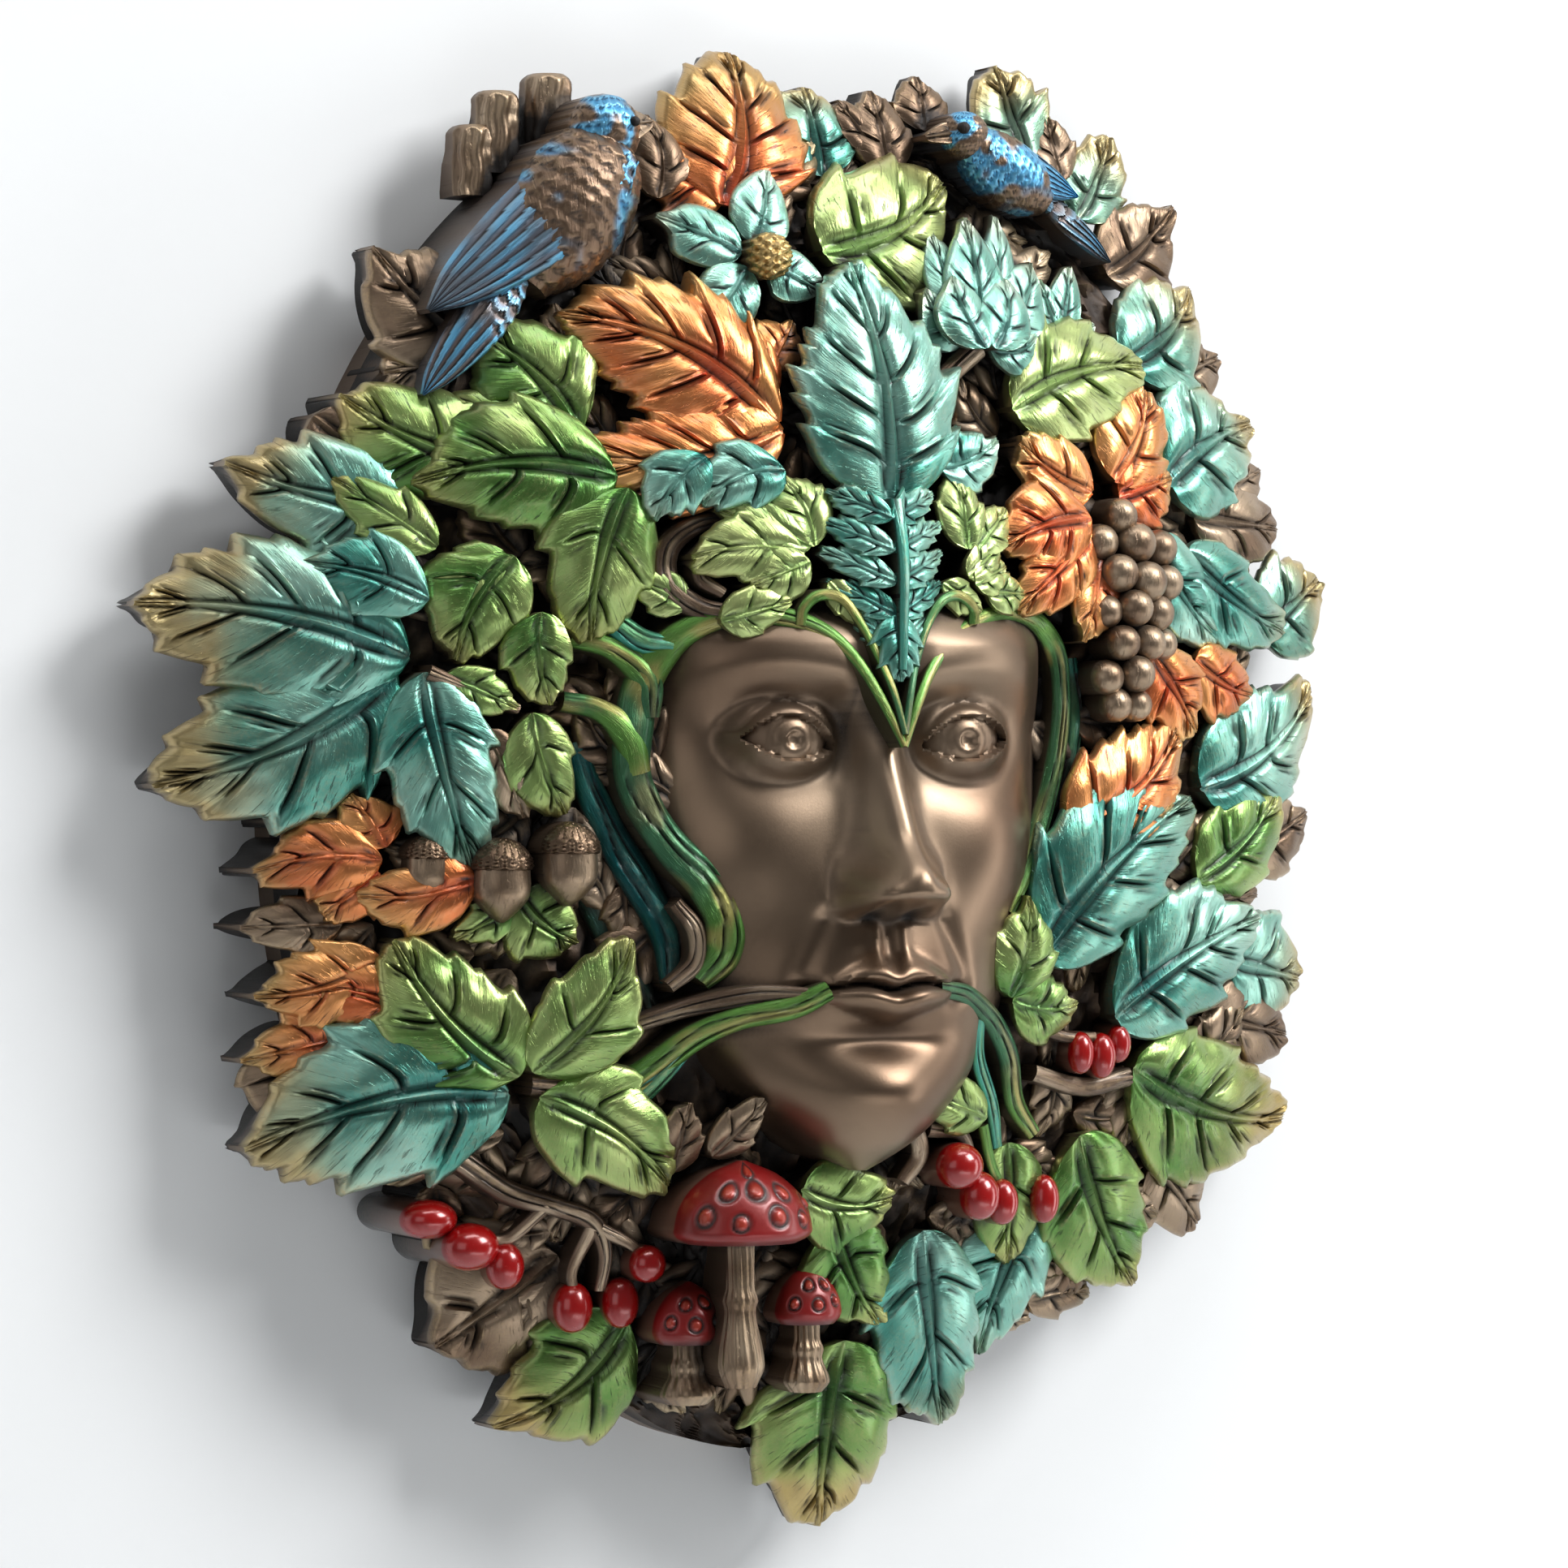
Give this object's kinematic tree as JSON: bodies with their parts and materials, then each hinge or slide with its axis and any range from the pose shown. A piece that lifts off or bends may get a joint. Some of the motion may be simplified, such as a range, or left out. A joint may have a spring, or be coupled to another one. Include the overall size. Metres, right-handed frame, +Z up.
{
  "type": "foliate face wall plaque",
  "caption": "Cast wall plaque: a calm face in a wreath of painted leaves, birds, fruit and toadstools, flat-backed with a keyhole recess.",
  "frame": {"origin": "centre of the flat back, on the wall", "axes": "+Z up, -Y out of the wall towards the viewer, +X to the viewer's right"},
  "size_m": [0.3385, 0.0973, 0.3822],
  "materials": {
    "bronze": "satin dark bronze finish on cast resin, rubbed bright on high places, near black in the hollows",
    "teal_leaf": "pearly teal paint over bronze, dark wash in the veins, bronze showing at tips and edges",
    "green_leaf": "pearly green paint with gold-green lights over bronze, dark wash in the veins",
    "autumn_leaf": "pearly orange and gold paint over bronze, dark wash in the veins",
    "vine": "green and gold paint rubbed over bronze vines",
    "bird": "blue paint dry-brushed on bronze feathers",
    "berry": "glossy red paint",
    "toadstool": "satin dark red paint on the caps, bronze stems"
  },
  "bodies": {
    "root": {"plaque": "bronze"}
  },
  "joints": []
}
